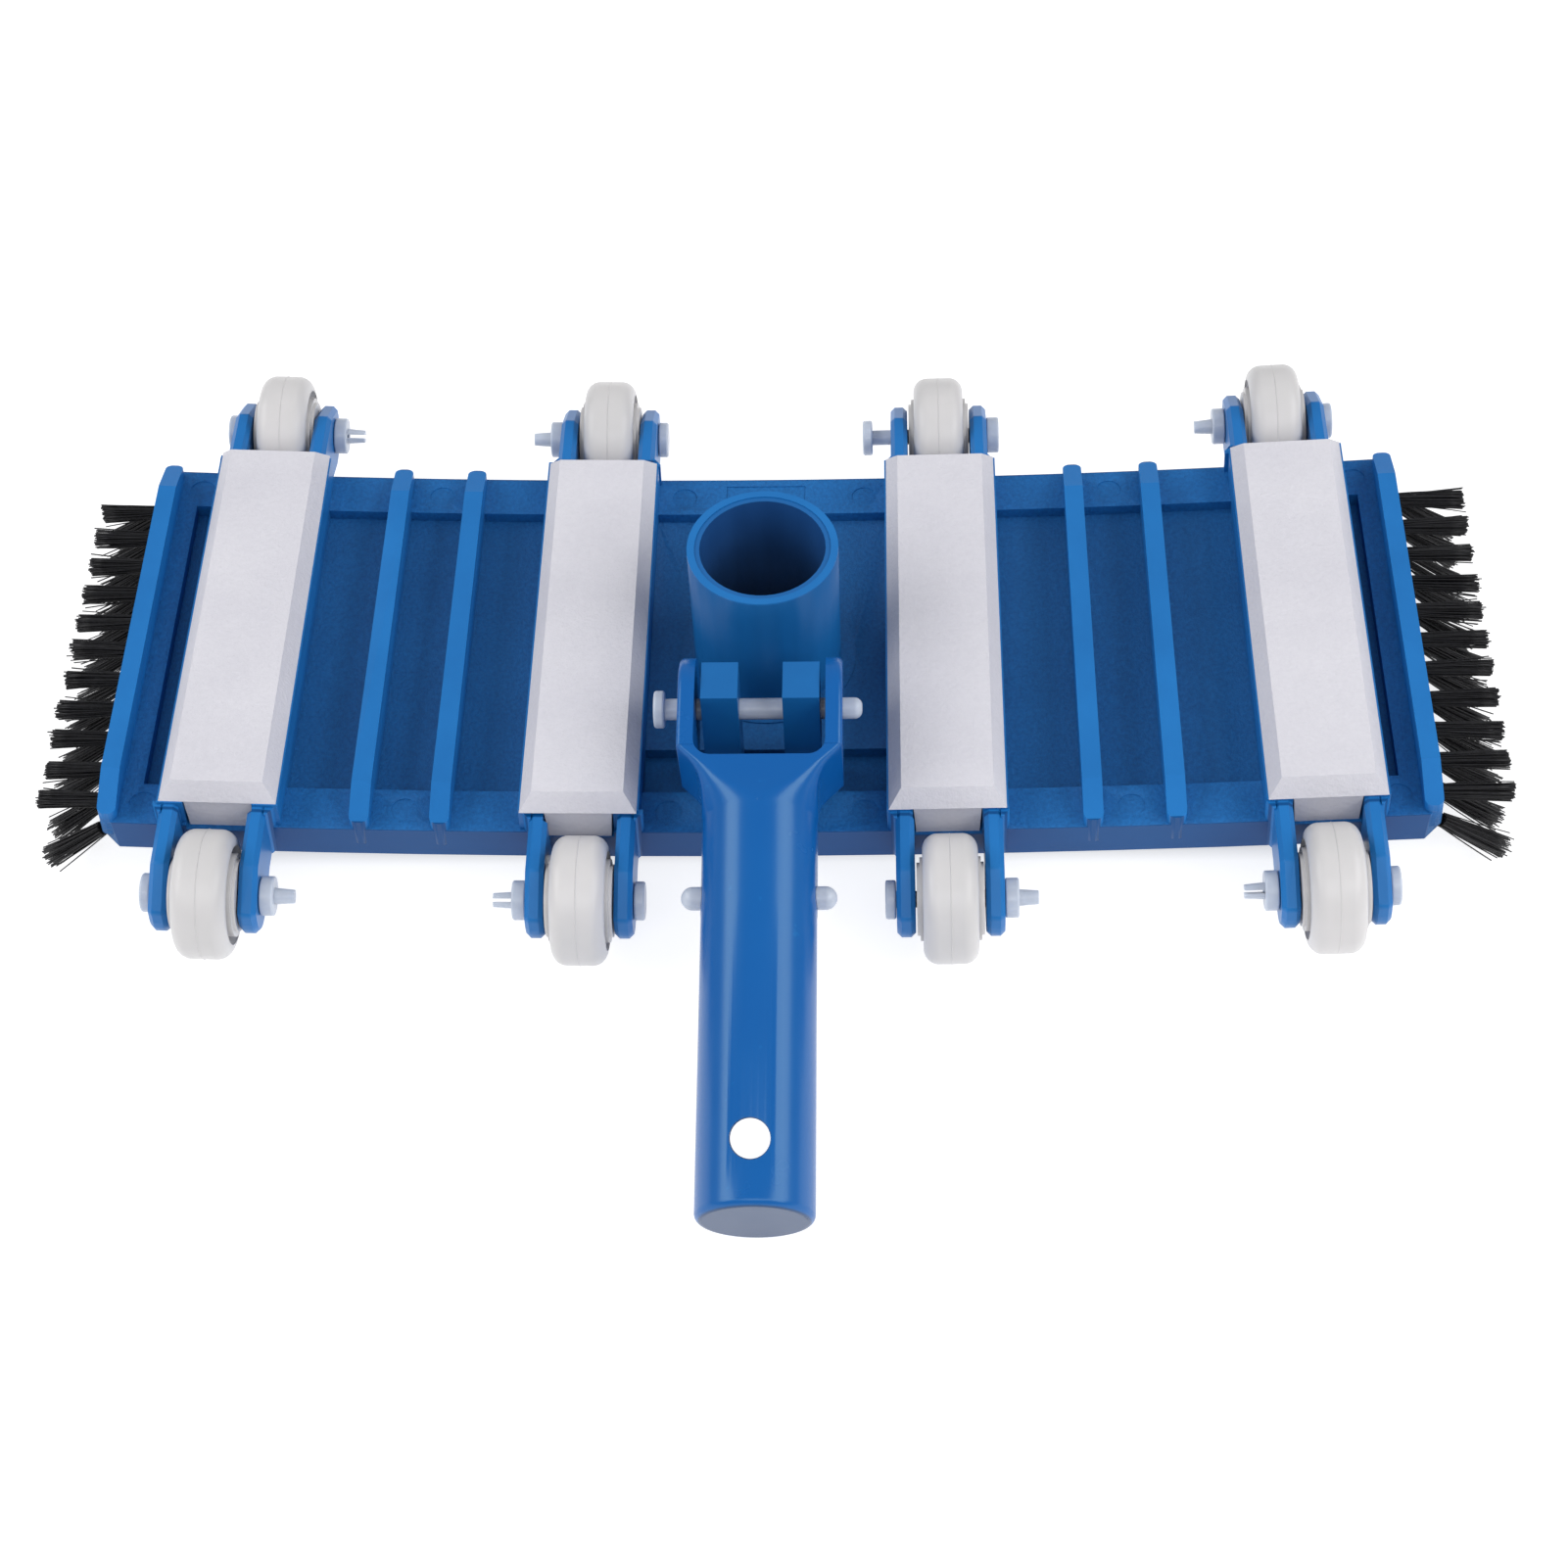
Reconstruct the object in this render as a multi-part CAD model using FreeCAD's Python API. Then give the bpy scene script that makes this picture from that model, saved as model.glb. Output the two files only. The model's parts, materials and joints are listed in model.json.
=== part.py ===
"""Weighted pool vacuum head: a gently bowed plate on eight wheels, with a pole handle.

Frame: X along the head, Y from the handle side to the far side, Z up. The floor is z = 0 and
the origin is on the floor at the middle of the whole object's footprint. Millimetres.
Everything is first built about the plate's own middle and moved to that frame at export.
"""
import FreeCAD, Part
import math
import os

Vec = FreeCAD.Vector
X_AXIS = Vec(1, 0, 0)
Y_AXIS = Vec(0, 1, 0)
Z_AXIS = Vec(0, 0, 1)

# ---- plate -------------------------------------------------------------------------------
BOW_R = 2500.0          # the flexible plate is bent up at both ends on this radius
HALF_L = 179.7          # half length along X
HALF_W = 64.3           # half width along Y
SKIRT_Z = 9.8           # lower edge of the skirt
PLATE_Z = 14.0          # underside of the plate
FLOOR_Z = 17.0          # floor of the shallow trays
RIM_Z = 20.4            # top of the long rims
RIM_Y = 50.7            # inner edge of the long rims
SKIRT_T = 3.0
END_BLOCK = 9.6         # solid width of each short end, which holds the tufts
CORNER = 5.2            # corner chamfer in plan
STIFFENER_Y = 22.0      # two low ribs under the plate stand this far each side of the middle
STIFFENER_T = 2.0
STIFFENER_Z = 11.8

# ribs along Y: width, top, half length, height at the two ends, and where the top starts to fall
RIB = (5.3, 27.2, 64.5, 23.9, 53.0)
END_RIB = (5.0, 28.0, 63.7, 23.6, 51.4)
RIB_X = (-109.4, -87.8, 87.5, 109.6)
END_RIB_X = 177.2

SLOT_OUT = 169.4        # outer edge of the deep slot beside each end weight
SLOT_Y = 50.9
SLOT_Z = 16.0

MARK_R = 3.6            # round ejector marks on the rims
MARK_DEEP = 0.25
MARK_Y = 57.2
MARK_X = (26.4, 98.0, 168.6)
PANEL = (-14.0, 9.0)    # a shallow rectangle in the far rim
PANEL_HALF_Y = 4.5

# ---- weights -----------------------------------------------------------------------------
WEIGHT_X = (-146.8, -50.1, 48.7, 149.2)
WEIGHT_SHIFT = (0.7, -0.8, 0.0, 0.0)    # how far each weight sits off the middle in Y
WALL_OUT = 16.0         # outer face of a channel wall
WALL_IN = 9.2
CHANNEL_Z = 18.6        # floor of the channel between the walls
WALL_Y = 63.3
CAP_Z = 29.1            # the cap rests on the channel walls
CAP_HALF_W = 15.55
CAP_HALF_L = 63.6
CAP_H = 5.1
CAP_CHAMFER = 3.4
BLOCK_HALF_W = 9.0
BLOCK_TAPER = 0.6       # the block narrows this much towards its foot
BLOCK_Y = 63.2
CORE_HALF_W = 6.6
CORE_Y = 53.0
CORE_TOP = 31.2
CORE_GAP = 0.2
SCREW_Y = 58.2
SCREW_R = 1.75
SCREW_TOP = 28.0
SCREW_HEAD_R = 3.4
SCREW_HEAD_H = 2.2
CROSS = (0.4, 2.0, 1.2)   # the cross slot in a screw's head: half width, half length, depth
FIT = 0.05              # radial running clearance of every pin and screw

# ---- wheels ------------------------------------------------------------------------------
WHEEL_R = 17.15
AXLE_Y = 84.1
# how far each wheel and its arms stand off their weight's middle, along X
STATION_SHIFT = {"front": (-1.1, 1.2, 0.3, -0.2), "back": (-0.3, 0.5, 0.0, -1.1)}
TREAD_HALF = 7.25
SHOULDER = 4.0
SIDE_R = 13.6           # the recess in a wheel's side starts inside this radius
WEB_HALF = 3.2
WEB_R = 12.4            # and is full depth from here inward
HUB_R = 11.0
HUB_HALF = 8.0
BOSS_R = 9.6
BOSS_HALF = 8.8
ARM_IN = 9.2
ARM_OUT = 14.1
ARM_TOP_Z = 28.6
# corners of an arm's outline, as (out from the axle, up from the axle, rounding)
ARM_CORNERS = ((10.1, -10.1, 9.0), (-3.0, -10.1, 5.0), (9.1, 3.6, 2.0), (-2.3, 10.4, 2.0))
ARM_CHAMFER = 1.2
GUSSET_LONG = 2.4       # the walls run into the arms over this length
GUSSET_LOW = 0.4
AXLE_R = 2.2
HEAD_R = 5.15
HEAD_T = 2.8
HEAD_ROUND = 0.6
RETAINER_R = 5.25
RETAINER_T = 3.6
RETAINER_ROUND = 0.5
SIDE_GAP = 0.15
TIP_LONG = 5.0
TIP_SLOT = 0.9
TIP_TAPER = 0.35
LOOSE_PIN = 5.4         # one rear axle has crept out of its arms by this much

# ---- hose port and handle lugs ------------------------------------------------------------
CENTRE_X = -0.75        # the port, the lugs and the handle stand a little off the middle
PORT_R = 20.4
PORT_BORE_R = 17.0
PORT_TOP = 62.3
PORT_STEP_R = 18.4
PORT_STEP = 0.35
COLLAR_R = 24.6
COLLAR_H = 0.5
TRENCH = (-50.3, -33.6)   # low pocket under the lugs, in Y
TRENCH_Z = 13.6
TRENCH_X = (WEIGHT_X[1] + WALL_OUT, WEIGHT_X[2] - WALL_OUT)
TRENCH_BASE = 10.9
PIVOT_Y = -41.0
PIVOT_Z = 44.0
LUG_IN = 5.85
LUG_OUT = 15.5
LUG_HALF_Y = 6.1
LUG_TOP = 56.0

# ---- handle -------------------------------------------------------------------------------
SLOPE = 12.13           # degrees that the handle hangs below level, its tip on the floor
TUBE_R = 14.9
ROOT_R = 15.0           # the tube is this much thicker from the neck to ROOT_END
ROOT_END = 60.0
ROOT_TAPER = 1.0        # the last part of that runs down to the tube
TUBE_BORE_R = 11.4
END_WALL = 4.0
END_ROUND = 2.0
EAR_OUT = 21.5
EAR_IN = 17.1
EAR_R = 13.5
EAR_ROUND = 1.3         # rounding of the ears' rims
FORK_LONG = 16.8        # from the pivot to where the neck starts
NECK_END = 33.4
# sections of the neck: distance from the pivot, half width, half height, corner radius;
# the last two carry it into the tube, the very last one a little inside it
NECK = ((FORK_LONG, EAR_OUT - 0.15, EAR_R - 0.15, 1.3),
        (19.4, 19.0, 13.5, 1.8),
        (21.9, 16.9, 13.65, 2.6),
        (24.9, 15.5, 13.95, 4.6),
        (28.4, ROOT_R + 0.05, 14.5, 9.0),
        (NECK_END, ROOT_R + 0.02, ROOT_R + 0.02, ROOT_R - 0.2),
        (NECK_END + 2.0, ROOT_R - 0.5, ROOT_R - 0.5, ROOT_R - 0.7))
SLOT_END = 19.7
SLOT_CORNER = 4.5
TILT_SIN = math.sin(math.radians(SLOPE))
TILT_COS = math.cos(math.radians(SLOPE))
END_R = TUBE_R - END_ROUND
TURN_IN = WEIGHT_X[2] / BOW_R    # lean of the inner wheels, which stand on the floor
WHEEL_LOW = (BOW_R - (BOW_R - SHOULDER) * math.cos(TURN_IN)
             - (TREAD_HALF - SHOULDER) * math.sin(TURN_IN) - SHOULDER)
HANDLE_LONG = END_ROUND + (PIVOT_Z - WHEEL_LOW - END_ROUND - END_R * TILT_COS) / TILT_SIN
HANG_HOLE_R = 5.1
HANG_HOLE_AT = 118.5    # where the hole's axis passes the tube's axis
HANG_HOLE_X = -1.45     # and how far beside it
HANG_HOLE_LEAN = math.radians(18.0)   # the hole slants towards the tip as it rises
HANG_HOLE_SIDE = math.radians(2.7)    # and a little to +X
PIN_R = 2.85
PIN_GAP = 0.07
PIN_HEAD_R = 5.0
PIN_HEAD_T = 2.9
PIN_HEAD_ROUND = 0.8
PIN_HEAD_X = -25.6
PIN_TIP_X = 26.6

# ---- snap clip in the handle ----------------------------------------------------------------
BUTTON_AT = 54.4
BUTTON_R = 3.05
BUTTON_TIP = 20.1
STRIP_T = 0.9
STRIP_HALF_H = 4.0
STRIP_OUT = 10.0
LEG_START = 49.5
LEG_END = 84.0
BOW_AT = 94.0
STOP_T = 2.0
CLIP_GAP = 0.05         # between the button's leg and the rest of the strip

# ---- bristles -------------------------------------------------------------------------------
TUFT_PITCH = 10.49
TUFT_MIDDLE = -2.85     # the rows sit a little towards the handle
TUFT_COUNT = {"upper": 11, "lower": 12}
TUFT_Z = {"upper": 18.5, "lower": 13.2}
TUFT_TILT = {"upper": 0.0, "lower": 37.0}     # degrees below level
TUFT_OUT = {"upper": 17.8, "lower": 22.0}     # how far they stand out of the plate's end
TUFT_R = 2.05
TUFT_TIP_R = 2.6
TUFT_DEEP = 4.8
TUFT_LIP = 2.6          # they start to spread this far out
TUFT_SHORT = 0.2        # between a tuft's root and the bottom of its hole


def box(x0, x1, y0, y1, z0, z1):
    return Part.makeBox(x1 - x0, y1 - y0, z1 - z0, Vec(x0, y0, z0))


def rod(radius, start, end):
    """A round bar from one point to another."""
    run = end - start
    return Part.makeCylinder(radius, run.Length, start, run)


def prism(points, sweep):
    """A flat outline of corner points, pushed along a vector."""
    return Part.Face(Part.makePolygon(points + [points[0]])).extrude(sweep)


def join(shapes):
    return shapes[0].fuse(shapes[1:])


def fuse(shapes):
    """Join solids and merge the faces that come out level."""
    return join(shapes).removeSplitter()


def bend(shape, x):
    """Carry a shape built at x = 0 along the bowed plate to station x."""
    moved = shape.copy()
    moved.rotate(Vec(0, 0, BOW_R), Y_AXIS, -math.degrees(x / BOW_R))
    return moved


def seated(shape, number):
    """Carry a shape built at x = 0 to a weight's own place on the plate."""
    moved = bend(shape, WEIGHT_X[number])
    moved.translate(Vec(0, WEIGHT_SHIFT[number], 0))
    return moved


def on_bow(x, z):
    turn = x / BOW_R
    return Vec((BOW_R - z) * math.sin(turn), 0, BOW_R - (BOW_R - z) * math.cos(turn))


def band(x0, x1, y0, y1, z0, z1):
    """A box that follows the bow: z is the height that it would have at x = 0."""
    mid = (x0 + x1) / 2
    low = Part.Arc(on_bow(x0, z0), on_bow(mid, z0), on_bow(x1, z0)).toShape()
    high = Part.Arc(on_bow(x1, z1), on_bow(mid, z1), on_bow(x0, z1)).toShape()
    right = Part.makeLine(on_bow(x1, z0), on_bow(x1, z1))
    left = Part.makeLine(on_bow(x0, z1), on_bow(x0, z0))
    solid = Part.Face(Part.Wire([low, right, high, left])).extrude(Vec(0, y1 - y0, 0))
    solid.translate(Vec(0, y0, 0))
    return solid


def mirrored(shape, normal):
    return shape.mirror(Vec(0, 0, 0), normal)


def corner_wedge(side_x, side_y):
    """What a corner chamfer takes away from the plate."""
    x = side_x * HALF_L
    y = side_y * HALF_W
    reach = 2.0
    points = [Vec(x - side_x * (CORNER + reach), y + side_y * reach, 0),
              Vec(x + side_x * reach, y - side_y * (CORNER + reach), 0),
              Vec(x + side_x * reach, y + side_y * reach, 0)]
    return prism(points, Vec(0, 0, 40))


def rib(sizes):
    """A rib along Y with rounded ends, its top falling towards each end."""
    width, top, half_y, end_top, fall_at = sizes
    radius = width / 2
    base = PLATE_Z + 0.5
    side = box(-radius, radius, -half_y, half_y, base, top)
    corners = [e for e in side.Edges if e.BoundBox.ZLength > 1]
    whole = side.makeFillet(radius * 0.8, corners)
    for turn in (-1, 1):
        points = [Vec(-width, turn * fall_at, top),
                  Vec(-width, turn * half_y, end_top),
                  Vec(-width, turn * (half_y + 1), end_top),
                  Vec(-width, turn * (half_y + 1), top + 1),
                  Vec(-width, turn * fall_at, top + 1)]
        whole = whole.cut(prism(points, Vec(2 * width, 0, 0)))
    return whole


def arm():
    """One front wheel arm, at the +X side of a wheel: level, then sloping, then a round tip."""
    corners = [Vec(0, -AXLE_Y - out, WHEEL_R + up) for out, up, rounding in ARM_CORNERS]
    front, bottom, nose, shoulder = corners
    heel = Vec(0, -WALL_Y - 4, SKIRT_Z + 2)
    root = [Vec(0, -WALL_Y + 4, SKIRT_Z + 2), Vec(0, -WALL_Y + 4, ARM_TOP_Z)]
    plate = prism([shoulder, nose, front, bottom, heel] + root, Vec(ARM_OUT - ARM_IN, 0, 0))
    plate.translate(Vec(ARM_IN, 0, 0))
    for corner, sizes in zip(corners, ARM_CORNERS):
        edge = [e for e in plate.Edges if (e.CenterOfMass - corner).cross(X_AXIS).Length < 0.01]
        plate = plate.makeFillet(sizes[2], edge)
    rims = [e for e in plate.Edges if e.BoundBox.XLength < 0.01 and e.BoundBox.YMin < heel.y - 1]
    plate = plate.makeChamfer(ARM_CHAMFER, rims)
    foot = SKIRT_Z + 1
    gusset = prism([Vec(ARM_OUT - 0.5, -WALL_Y + 1, foot),
                    Vec(WALL_OUT, -WALL_Y + 1, foot),
                    Vec(WALL_OUT, -WALL_Y, foot),
                    Vec(ARM_OUT, -WALL_Y - GUSSET_LONG, foot),
                    Vec(ARM_OUT - 0.5, -WALL_Y - GUSSET_LONG, foot)],
                   Vec(0, 0, ARM_TOP_Z - foot - GUSSET_LOW))
    return fuse([plate, gusset])


def station_x(row, number):
    """Where along the plate a wheel stands."""
    return WEIGHT_X[number] + STATION_SHIFT[row][number]


def seats():
    """The channel blocks of the weights and the arms of all the wheels, on the bowed plate."""
    block = box(-WALL_OUT, WALL_OUT, -WALL_Y, WALL_Y, PLATE_Z, CAP_Z)
    hole = rod(AXLE_R + FIT, Vec(-20, -AXLE_Y, WHEEL_R), Vec(20, -AXLE_Y, WHEEL_R))
    front = arm().cut(hole)
    back = mirrored(front, Y_AXIS)
    solids = []
    for number, x in enumerate(WEIGHT_X):
        solids.append(bend(block, x))
        for row, right in (("front", front), ("back", back)):
            for one in (right, mirrored(right, X_AXIS)):
                solids.append(bend(one, station_x(row, number)))
    return solids


def weight_clearance():
    """The channel for one weight, with its screw holes and the recesses for their heads."""
    cuts = [box(-WALL_IN, WALL_IN, -HALF_W - 1, HALF_W + 1, CHANNEL_Z, CAP_Z + 1)]
    for side in (-1, 1):
        y = side * SCREW_Y
        cuts.append(rod(SCREW_R + FIT, Vec(0, y, SKIRT_Z - 2), Vec(0, y, CHANNEL_Z + 1)))
        recess_top = Vec(0, y, PLATE_Z + SCREW_HEAD_H)
        cuts.append(rod(SCREW_HEAD_R + 2 * FIT, Vec(0, y, SKIRT_Z - 2), recess_top))
    return cuts


def tuft_places(row):
    """Root point and outward direction of each tuft of a row on the +X end."""
    tilt = math.radians(TUFT_TILT[row])
    out = Vec(math.cos(tilt), 0, -math.sin(tilt))
    root = on_bow(HALF_L, TUFT_Z[row])
    first = TUFT_MIDDLE - TUFT_PITCH * (TUFT_COUNT[row] - 1) / 2
    return [(root + Vec(0, first + i * TUFT_PITCH, 0), out) for i in range(TUFT_COUNT[row])]


def tuft_holes():
    holes = []
    for row in TUFT_COUNT:
        for root, out in tuft_places(row):
            holes.append(rod(TUFT_R + FIT, root - out * TUFT_DEEP, root + out * TUFT_LIP))
    return holes


def bristles(row):
    """All tufts of one row at the +X end, each a bar in its hole that widens outside it."""
    tufts = []
    for root, out in tuft_places(row):
        lip = root + out * TUFT_LIP
        stem = rod(TUFT_R, root - out * (TUFT_DEEP - TUFT_SHORT), lip)
        brush = Part.makeCone(TUFT_R, TUFT_TIP_R, TUFT_OUT[row] - TUFT_LIP, lip, out)
        tufts.append(stem.fuse(brush))
    return Part.makeCompound(tufts)


def lugs():
    """The two lugs that carry the handle, either side of the middle."""
    front = PIVOT_Y - LUG_HALF_Y
    back = PIVOT_Y + LUG_HALF_Y
    pair = []
    for near, far in ((LUG_IN, LUG_OUT), (-LUG_OUT, -LUG_IN)):
        pair.append(box(CENTRE_X + near, CENTRE_X + far, front, back, TRENCH_BASE + 1, LUG_TOP))
    return pair


def plate_blank():
    """The bowed tray: long rims, shallow trays, skirt and the trench under the lugs."""
    plate = band(-HALF_L, HALF_L, -HALF_W, HALF_W, SKIRT_Z, RIM_Z)
    inner_l = HALF_L - END_BLOCK
    inner_w = HALF_W - SKIRT_T
    plate = plate.cut(band(-inner_l, inner_l, -inner_w, inner_w, SKIRT_Z - 1, PLATE_Z))
    near = WEIGHT_X[2]
    far = WEIGHT_X[3]
    trays = [band(-near, near, -RIM_Y, RIM_Y, FLOOR_Z, RIM_Z + 1)]
    for side in (-1, 1):
        ends = sorted((side * near, side * far))
        trays.append(band(ends[0], ends[1], -RIM_Y, RIM_Y, FLOOR_Z, RIM_Z + 1))
        ends = sorted((side * far, side * SLOT_OUT))
        trays.append(band(ends[0], ends[1], -SLOT_Y, SLOT_Y, SLOT_Z, RIM_Z + 1))
    plate = plate.cut(trays)
    basin = box(TRENCH_X[0] - 2, TRENCH_X[1] + 2, TRENCH[0] - 2, TRENCH[1] + 2, TRENCH_BASE, FLOOR_Z)
    stiffeners = []
    for y in (-STIFFENER_Y, STIFFENER_Y):
        half = STIFFENER_T / 2
        stiffeners.append(band(-inner_l, inner_l, y - half, y + half, STIFFENER_Z, PLATE_Z + 0.5))
    plate = join([plate, basin] + stiffeners)
    plate = plate.cut(box(TRENCH_X[0], TRENCH_X[1], TRENCH[0], TRENCH[1], TRENCH_Z, RIM_Z))
    return plate.cut([corner_wedge(a, b) for a in (-1, 1) for b in (-1, 1)])


def body_shell():
    port_base = Vec(CENTRE_X, 0, PLATE_Z)
    solids = [plate_blank(),
              Part.makeCylinder(PORT_R, PORT_TOP - PLATE_Z, port_base),
              Part.makeCylinder(COLLAR_R, FLOOR_Z + COLLAR_H - PLATE_Z, port_base)]
    solids += lugs()
    solids += seats()
    solids += [bend(rib(RIB), x) for x in RIB_X]
    solids += [bend(rib(END_RIB), side * END_RIB_X) for side in (-1, 1)]
    shell = join(solids)

    cuts = [Part.makeCylinder(PORT_BORE_R, 80, Vec(CENTRE_X, 0, SKIRT_Z - 2)),
            Part.makeCylinder(PORT_STEP_R, 5, Vec(CENTRE_X, 0, PORT_TOP - PORT_STEP)),
            rod(PIN_R + PIN_GAP, Vec(-LUG_OUT - 4, PIVOT_Y, PIVOT_Z), Vec(LUG_OUT + 4, PIVOT_Y, PIVOT_Z))]
    for number in range(len(WEIGHT_X)):
        cuts += [seated(hole, number) for hole in weight_clearance()]
    for hole in tuft_holes():
        cuts += [hole, mirrored(hole, X_AXIS)]
    mark = Part.makeCylinder(MARK_R, 2, Vec(0, 0, RIM_Z - MARK_DEEP))
    for x in MARK_X:
        for side_x in (-1, 1):
            for side_y in (-1, 1):
                spot = bend(mark, side_x * x)
                spot.translate(Vec(0, side_y * MARK_Y, 0))
                cuts.append(spot)
    cuts.append(box(PANEL[0], PANEL[1], MARK_Y - PANEL_HALF_Y, MARK_Y + PANEL_HALF_Y,
                    RIM_Z - MARK_DEEP, RIM_Z + 1))
    return shell.cut(cuts)


def cap_section(half_w, half_l, z):
    corners = [Vec(-half_w, -half_l, z), Vec(half_w, -half_l, z),
               Vec(half_w, half_l, z), Vec(-half_w, half_l, z)]
    return Part.makePolygon(corners + [corners[0]])


def weight_cover():
    """A T-shaped cover: a chamfered cap over a narrower block with a pocket for the core."""
    lower = cap_section(CAP_HALF_W, CAP_HALF_L, CAP_Z)
    upper = cap_section(CAP_HALF_W - CAP_CHAMFER, CAP_HALF_L - CAP_CHAMFER, CAP_Z + CAP_H)
    cap = Part.makeLoft([lower, upper], True, True)
    foot = cap_section(BLOCK_HALF_W - BLOCK_TAPER, BLOCK_Y, CHANNEL_Z)
    neck = cap_section(BLOCK_HALF_W, BLOCK_Y, CAP_Z)
    cover = fuse([cap, Part.makeLoft([foot, neck], True, True)])
    cuts = [box(-CORE_HALF_W, CORE_HALF_W, -CORE_Y, CORE_Y, CHANNEL_Z - 1, CORE_TOP)]
    for side in (-1, 1):
        y = side * SCREW_Y
        cuts.append(rod(SCREW_R + FIT, Vec(0, y, CHANNEL_Z - 1), Vec(0, y, SCREW_TOP + 0.5)))
    return cover.cut(cuts)


def weight_core():
    gap = CORE_GAP
    return box(-CORE_HALF_W + gap, CORE_HALF_W - gap, -CORE_Y + gap, CORE_Y - gap, CHANNEL_Z, CORE_TOP - gap)


def weight_screws():
    """The two screws of one weight, put in from below."""
    thin, long, deep = CROSS
    pair = []
    for side in (-1, 1):
        y = side * SCREW_Y
        head = rod(SCREW_HEAD_R, Vec(0, y, PLATE_Z), Vec(0, y, PLATE_Z + SCREW_HEAD_H))
        shank = rod(SCREW_R, Vec(0, y, PLATE_Z + SCREW_HEAD_H), Vec(0, y, SCREW_TOP))
        slots = [box(-long, long, y - thin, y + thin, PLATE_Z - 1, PLATE_Z + deep),
                 box(-thin, thin, y - long, y + long, PLATE_Z - 1, PLATE_Z + deep)]
        pair.append(head.fuse(shank).cut(slots))
    return pair


def wheel():
    """Rounded tyre, recessed sides and a stepped hub, turned about X at the origin."""
    half = TREAD_HALF
    round_at = WHEEL_R - SHOULDER
    slant = math.sqrt(0.5)
    corner = Vec(half - SHOULDER + SHOULDER * slant, 0, round_at + SHOULDER * slant)
    right = [Vec(half, 0, round_at), Vec(half, 0, SIDE_R),
             Vec(WEB_HALF, 0, WEB_R), Vec(WEB_HALF, 0, HUB_R),
             Vec(HUB_HALF, 0, HUB_R), Vec(HUB_HALF, 0, BOSS_R),
             Vec(BOSS_HALF, 0, BOSS_R), Vec(BOSS_HALF, 0, AXLE_R + FIT)]
    left = [Vec(-p.x, 0, p.z) for p in reversed(right)]
    top_right = Vec(half - SHOULDER, 0, WHEEL_R)
    top_left = Vec(SHOULDER - half, 0, WHEEL_R)
    edges = [Part.makeLine(top_left, top_right), Part.Arc(top_right, corner, right[0]).toShape()]
    chain = right + left
    edges += [Part.makeLine(chain[i], chain[i + 1]) for i in range(len(chain) - 1)]
    edges.append(Part.Arc(left[-1], Vec(-corner.x, 0, corner.z), top_left).toShape())
    return Part.Face(Part.Wire(edges)).revolve(Vec(0, 0, 0), X_AXIS, 360)


def axle(creep):
    """Headed pin with a split tip pointing to +X; creep moves it back out of its arms."""
    head_x = -ARM_OUT - SIDE_GAP
    tip_x = ARM_OUT + 2 * SIDE_GAP + RETAINER_T + TIP_LONG
    head = rod(HEAD_R, Vec(head_x - HEAD_T, 0, 0), Vec(head_x, 0, 0))
    head = head.makeFillet(HEAD_ROUND, [head.Edges[0], head.Edges[2]])
    shank_end = tip_x - TIP_LONG
    shank = rod(AXLE_R, Vec(head_x, 0, 0), Vec(shank_end, 0, 0))
    tip = Part.makeCone(AXLE_R, AXLE_R - TIP_TAPER, TIP_LONG, Vec(shank_end, 0, 0), X_AXIS)
    pin = fuse([head, shank, tip])
    pin = pin.cut(box(shank_end - 2, tip_x + 1, -5, 5, -TIP_SLOT / 2, TIP_SLOT / 2))
    pin.translate(Vec(-creep, 0, 0))
    return pin


def retainer():
    """The push-on washer at an axle's split end."""
    start = ARM_OUT + SIDE_GAP
    ring = rod(RETAINER_R, Vec(start, 0, 0), Vec(start + RETAINER_T, 0, 0))
    ring = ring.makeFillet(RETAINER_ROUND, [ring.Edges[0], ring.Edges[2]])
    return ring.cut(rod(AXLE_R + FIT, Vec(start - 1, 0, 0), Vec(start + RETAINER_T + 1, 0, 0)))


def rounded_section(half_w, half_h, radius, y):
    """A closed rounded rectangle standing across the handle at y."""
    in_w = half_w - radius
    in_h = half_h - radius
    slant = radius * math.sqrt(0.5)
    edges = []
    for a, b in ((1, 1), (-1, 1), (-1, -1), (1, -1)):
        beside = Vec(a * half_w, y, b * in_h)
        above = Vec(a * in_w, y, b * half_h)
        corner = Vec(a * (in_w + slant), y, b * (in_h + slant))
        if a * b > 0:
            edges.append(Part.Arc(beside, corner, above).toShape())
            edges.append(Part.makeLine(above, Vec(-a * in_w, y, b * half_h)))
        else:
            edges.append(Part.Arc(above, corner, beside).toShape())
            edges.append(Part.makeLine(beside, Vec(a * half_w, y, -b * in_h)))
    return Part.Wire(edges)


def neck():
    """The blend from the square fork to the round tube."""
    wires = [rounded_section(w, h, radius, -along) for along, w, h, radius in NECK]
    return Part.makeLoft(wires, True, False)


def ears():
    """The fork's two cheeks in one block, rounded about the pivot and along their rims."""
    top = Vec(0, 0, EAR_R)
    bottom = Vec(0, 0, -EAR_R)
    corners = [Vec(0, -FORK_LONG, EAR_R), Vec(0, -FORK_LONG, -EAR_R)]
    outline = [Part.Arc(bottom, Vec(0, EAR_R, 0), top).toShape(),
               Part.makeLine(top, corners[0]),
               Part.makeLine(corners[0], corners[1]),
               Part.makeLine(corners[1], bottom)]
    block = Part.Face(Part.Wire(outline)).extrude(Vec(2 * EAR_OUT, 0, 0))
    block.translate(Vec(-EAR_OUT, 0, 0))
    rims = [e for e in block.Edges if e.BoundBox.XLength < 0.01 and e.BoundBox.YMax > -FORK_LONG + 0.1]
    return block.makeFillet(EAR_ROUND, rims)


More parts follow.
